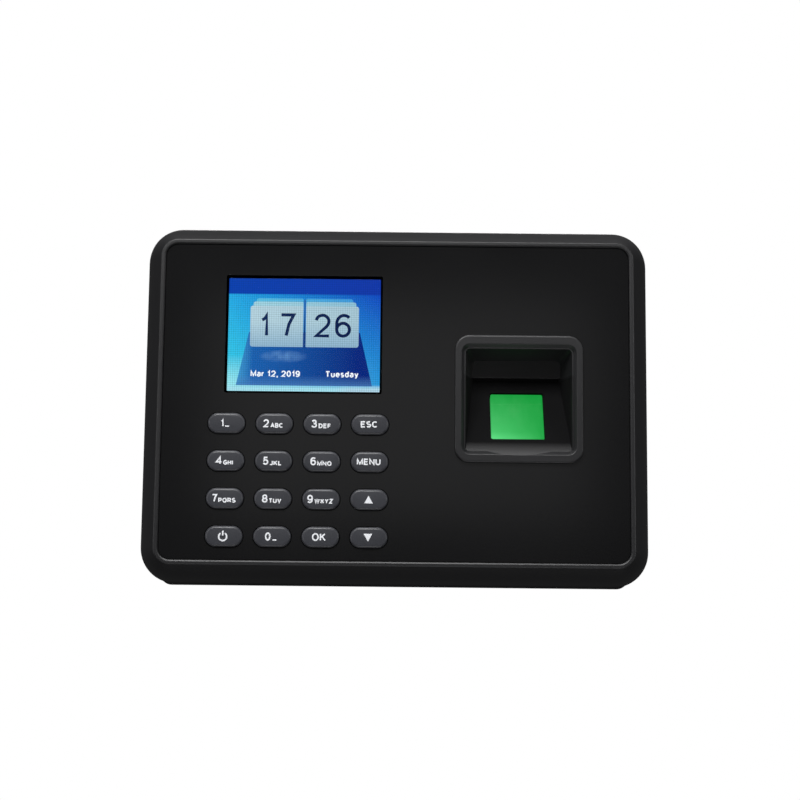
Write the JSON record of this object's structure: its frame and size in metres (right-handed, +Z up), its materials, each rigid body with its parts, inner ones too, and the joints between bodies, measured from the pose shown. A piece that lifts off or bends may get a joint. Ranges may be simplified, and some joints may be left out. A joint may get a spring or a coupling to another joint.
{
  "type": "fingerprint scanner terminal",
  "caption": "Wall mounted access and time clock terminal with a colour screen, pill shaped keys and a recessed lit finger sensor.",
  "frame": {"origin": "on the wall, at the centre of the wall plate's four screw holes", "axes": "+X to the right as one faces the terminal, +Y into the wall so that the front faces -Y, +Z up"},
  "size_m": [0.165, 0.0348, 0.1175],
  "materials": {
    "case_plastic": "satin moulded plastic with a very fine grain",
    "panel_acrylic": "black acrylic sheet with an even satin face",
    "bezel_plastic": "satin moulded plastic",
    "window_clear": "clear polished acrylic lens",
    "screen_lit": "lit colour screen under a polariser",
    "tray_steel": "thin rolled steel",
    "moulded_white": "plain white moulding",
    "ribbon_film": "amber polyimide film",
    "foam_black": "closed cell foam",
    "key_plastic": "grey satin plastic with a fine grain",
    "silicone_grey": "moulded silicone",
    "board_laminate": "green solder mask",
    "connector_ivory": "ivory nylon",
    "socket_black": "black nylon",
    "screw_zinc": "zinc plated",
    "plate_steel": "galvanised sheet",
    "shell_steel": "tin plated steel",
    "prism_glass": "polished optical glass, lit green from behind",
    "chip_epoxy": "moulded epoxy",
    "can_aluminium": "bare drawn aluminium",
    "cell_steel": "nickel plated steel",
    "lamp_green": "clear epoxy lamp",
    "lens_black": "blackened barrel",
    "cone_paper": "black pressed paper",
    "lead_black": "PVC insulation",
    "lead_red": "PVC insulation",
    "foot_rubber": "soft rubber pad"
  },
  "bodies": {
    "wall_plate_body": {"wall_plate": "plate_steel"},
    "terminal": {"front_shell": "case_plastic", "rear_case": "case_plastic", "front_panel": "panel_acrylic", "display_window": "window_clear", "display_gasket": "foam_black", "display_cell": "screen_lit", "display_backlight": "tray_steel", "display_holder": "moulded_white", "display_flex": "ribbon_film", "keypad_mat": "silicone_grey", "keypad_board": "board_laminate", "keypad_board_screws": "screw_zinc", "ribbon_connector": "connector_ivory", "board_link": "socket_black", "sensor_bezel": "bezel_plastic", "sensor_prism": "prism_glass", "sensor_gasket": "foam_black", "sensor_housing": "socket_black", "sensor_board": "board_laminate", "sensor_leds": "lamp_green", "sensor_camera": "lens_black", "sensor_screws": "screw_zinc", "case_screws": "screw_zinc", "rubber_feet": "foot_rubber", "main_board": "board_laminate", "main_board_screws": "screw_zinc", "main_chips": "chip_epoxy", "main_capacitors": "can_aluminium", "main_plugs": "connector_ivory", "cell_holder": "socket_black", "button_cell": "cell_steel", "usb_socket": "shell_steel", "usb_tongue": "connector_ivory", "power_jack": "socket_black", "jack_pin": "shell_steel", "speaker_basket": "tray_steel", "speaker_cone": "cone_paper", "speaker_magnet": "cell_steel", "sensor_cable": "lead_black", "speaker_lead": "lead_red"},
    "key_1_body": {"key_1": "key_plastic"},
    "key_2_body": {"key_2": "key_plastic"},
    "key_3_body": {"key_3": "key_plastic"},
    "key_escape_body": {"key_escape": "key_plastic"},
    "key_4_body": {"key_4": "key_plastic"},
    "key_5_body": {"key_5": "key_plastic"},
    "key_6_body": {"key_6": "key_plastic"},
    "key_menu_body": {"key_menu": "key_plastic"},
    "key_7_body": {"key_7": "key_plastic"},
    "key_8_body": {"key_8": "key_plastic"},
    "key_9_body": {"key_9": "key_plastic"},
    "key_up_body": {"key_up": "key_plastic"},
    "key_power_body": {"key_power": "key_plastic"},
    "key_0_body": {"key_0": "key_plastic"},
    "key_ok_body": {"key_ok": "key_plastic"},
    "key_down_body": {"key_down": "key_plastic"}
  },
  "joints": [
    {"name": "terminal_lift", "type": "slide", "parent": "wall_plate_body", "child": "terminal", "axis": [0, 0, 1], "range_m": [0, 0.006]},
    {"name": "key_1_press", "type": "slide", "parent": "terminal", "child": "key_1_body", "axis": [0, 1, 0], "range_m": [0, 0.001], "stiffness_N_per_m": 800, "springref_m": -0.0006},
    {"name": "key_2_press", "type": "slide", "parent": "terminal", "child": "key_2_body", "axis": [0, 1, 0], "range_m": [0, 0.001], "stiffness_N_per_m": 800, "springref_m": -0.0006},
    {"name": "key_3_press", "type": "slide", "parent": "terminal", "child": "key_3_body", "axis": [0, 1, 0], "range_m": [0, 0.001], "stiffness_N_per_m": 800, "springref_m": -0.0006},
    {"name": "key_escape_press", "type": "slide", "parent": "terminal", "child": "key_escape_body", "axis": [0, 1, 0], "range_m": [0, 0.001], "stiffness_N_per_m": 800, "springref_m": -0.0006},
    {"name": "key_4_press", "type": "slide", "parent": "terminal", "child": "key_4_body", "axis": [0, 1, 0], "range_m": [0, 0.001], "stiffness_N_per_m": 800, "springref_m": -0.0006},
    {"name": "key_5_press", "type": "slide", "parent": "terminal", "child": "key_5_body", "axis": [0, 1, 0], "range_m": [0, 0.001], "stiffness_N_per_m": 800, "springref_m": -0.0006},
    {"name": "key_6_press", "type": "slide", "parent": "terminal", "child": "key_6_body", "axis": [0, 1, 0], "range_m": [0, 0.001], "stiffness_N_per_m": 800, "springref_m": -0.0006},
    {"name": "key_menu_press", "type": "slide", "parent": "terminal", "child": "key_menu_body", "axis": [0, 1, 0], "range_m": [0, 0.001], "stiffness_N_per_m": 800, "springref_m": -0.0006},
    {"name": "key_7_press", "type": "slide", "parent": "terminal", "child": "key_7_body", "axis": [0, 1, 0], "range_m": [0, 0.001], "stiffness_N_per_m": 800, "springref_m": -0.0006},
    {"name": "key_8_press", "type": "slide", "parent": "terminal", "child": "key_8_body", "axis": [0, 1, 0], "range_m": [0, 0.001], "stiffness_N_per_m": 800, "springref_m": -0.0006},
    {"name": "key_9_press", "type": "slide", "parent": "terminal", "child": "key_9_body", "axis": [0, 1, 0], "range_m": [0, 0.001], "stiffness_N_per_m": 800, "springref_m": -0.0006},
    {"name": "key_up_press", "type": "slide", "parent": "terminal", "child": "key_up_body", "axis": [0, 1, 0], "range_m": [0, 0.001], "stiffness_N_per_m": 800, "springref_m": -0.0006},
    {"name": "key_power_press", "type": "slide", "parent": "terminal", "child": "key_power_body", "axis": [0, 1, 0], "range_m": [0, 0.001], "stiffness_N_per_m": 800, "springref_m": -0.0006},
    {"name": "key_0_press", "type": "slide", "parent": "terminal", "child": "key_0_body", "axis": [0, 1, 0], "range_m": [0, 0.001], "stiffness_N_per_m": 800, "springref_m": -0.0006},
    {"name": "key_ok_press", "type": "slide", "parent": "terminal", "child": "key_ok_body", "axis": [0, 1, 0], "range_m": [0, 0.001], "stiffness_N_per_m": 800, "springref_m": -0.0006},
    {"name": "key_down_press", "type": "slide", "parent": "terminal", "child": "key_down_body", "axis": [0, 1, 0], "range_m": [0, 0.001], "stiffness_N_per_m": 800, "springref_m": -0.0006}
  ]
}
